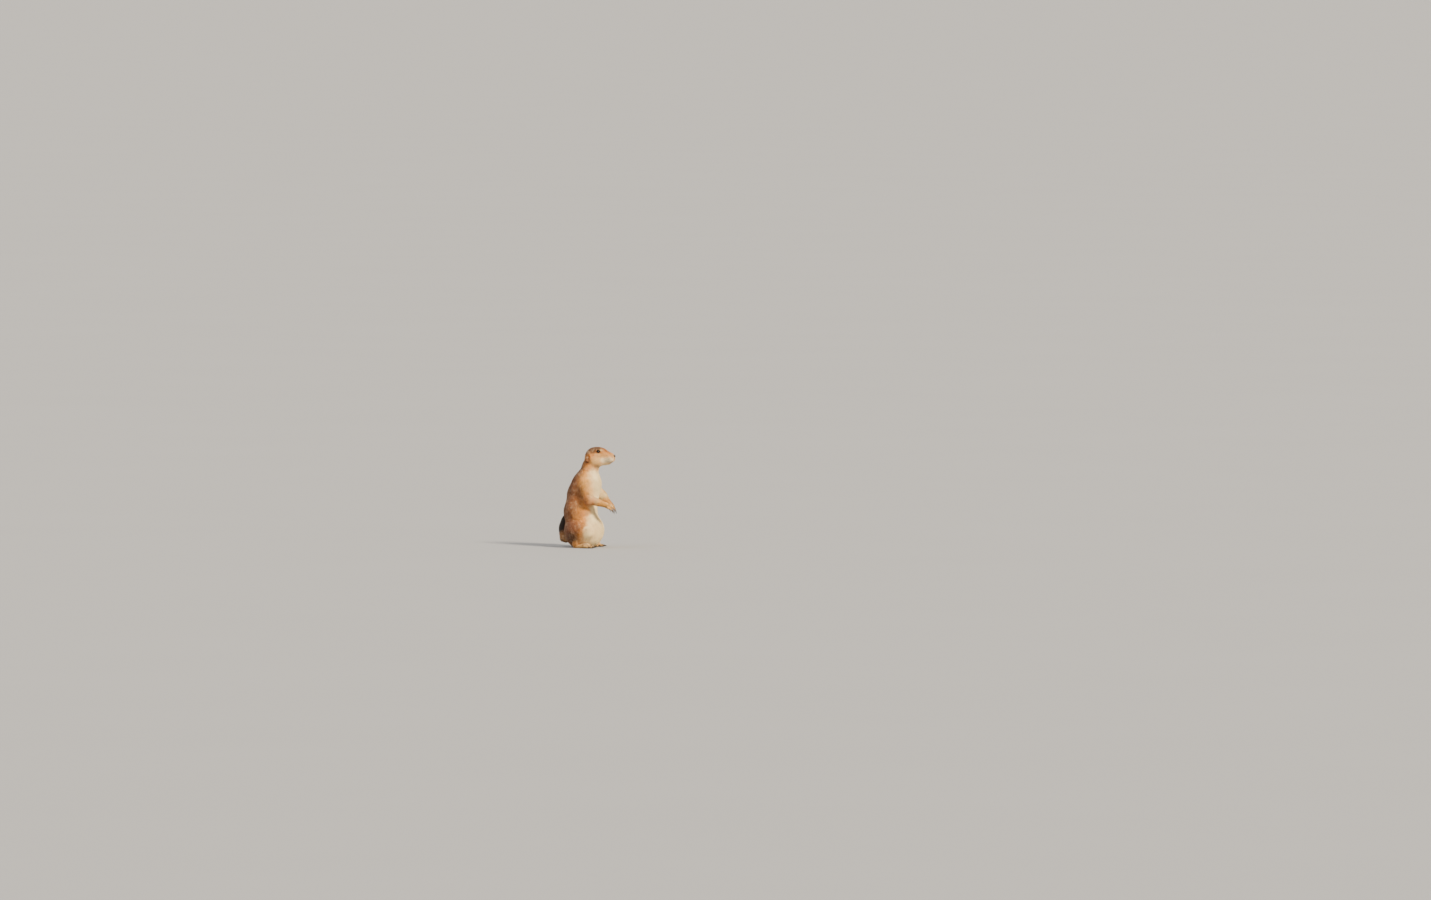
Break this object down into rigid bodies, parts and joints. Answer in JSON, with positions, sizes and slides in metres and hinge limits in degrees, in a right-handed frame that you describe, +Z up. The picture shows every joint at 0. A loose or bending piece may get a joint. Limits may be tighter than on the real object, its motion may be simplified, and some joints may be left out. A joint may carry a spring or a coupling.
{
  "type": "prairie dog model",
  "caption": "Still, life-size model of a prairie dog that sits upright on its haunches, forepaws held in front of its chest, head turned slightly aside, tail raised behind it.",
  "frame": {"origin": "on the floor, under the middle of the whole model's box", "axes": "+X the way the body faces, +Y the animal's left, +Z up"},
  "size_m": [0.1826, 0.1142, 0.2777],
  "materials": {
    "back_fur": "short reddish-brown to buff fur",
    "pale_fur": "short pale buff fur",
    "tail_black": "long black-brown hair",
    "nose_skin": "dark bare skin, slightly moist",
    "eye": "wet, near-black",
    "claw": "dark horn"
  },
  "bodies": {
    "root": {"ear_left": "back_fur", "ear_right": "back_fur", "eye_left": "eye", "eye_right": "eye", "foot_left": "pale_fur", "foot_left_claw_1": "claw", "foot_left_claw_2": "claw", "foot_left_claw_3": "claw", "foot_left_claw_4": "claw", "foot_left_claw_5": "claw", "foot_right": "pale_fur", "foot_right_claw_1": "claw", "foot_right_claw_2": "claw", "foot_right_claw_3": "claw", "foot_right_claw_4": "claw", "foot_right_claw_5": "claw", "forearm_left": "back_fur", "forearm_right": "back_fur", "hand_left": "pale_fur", "hand_left_claw_1": "claw", "hand_left_claw_2": "claw", "hand_left_claw_3": "claw", "hand_left_claw_4": "claw", "hand_left_claw_5": "claw", "hand_right": "pale_fur", "hand_right_claw_1": "claw", "hand_right_claw_2": "claw", "hand_right_claw_3": "claw", "hand_right_claw_4": "claw", "hand_right_claw_5": "claw", "head": "back_fur", "neck": "back_fur", "nose": "nose_skin", "shank_left": "back_fur", "shank_right": "back_fur", "tail_base": "back_fur", "tail_tip": "tail_black", "thigh_left": "back_fur", "thigh_right": "back_fur", "torso": "back_fur", "upper_arm_left": "back_fur", "upper_arm_right": "back_fur"}
  },
  "joints": []
}
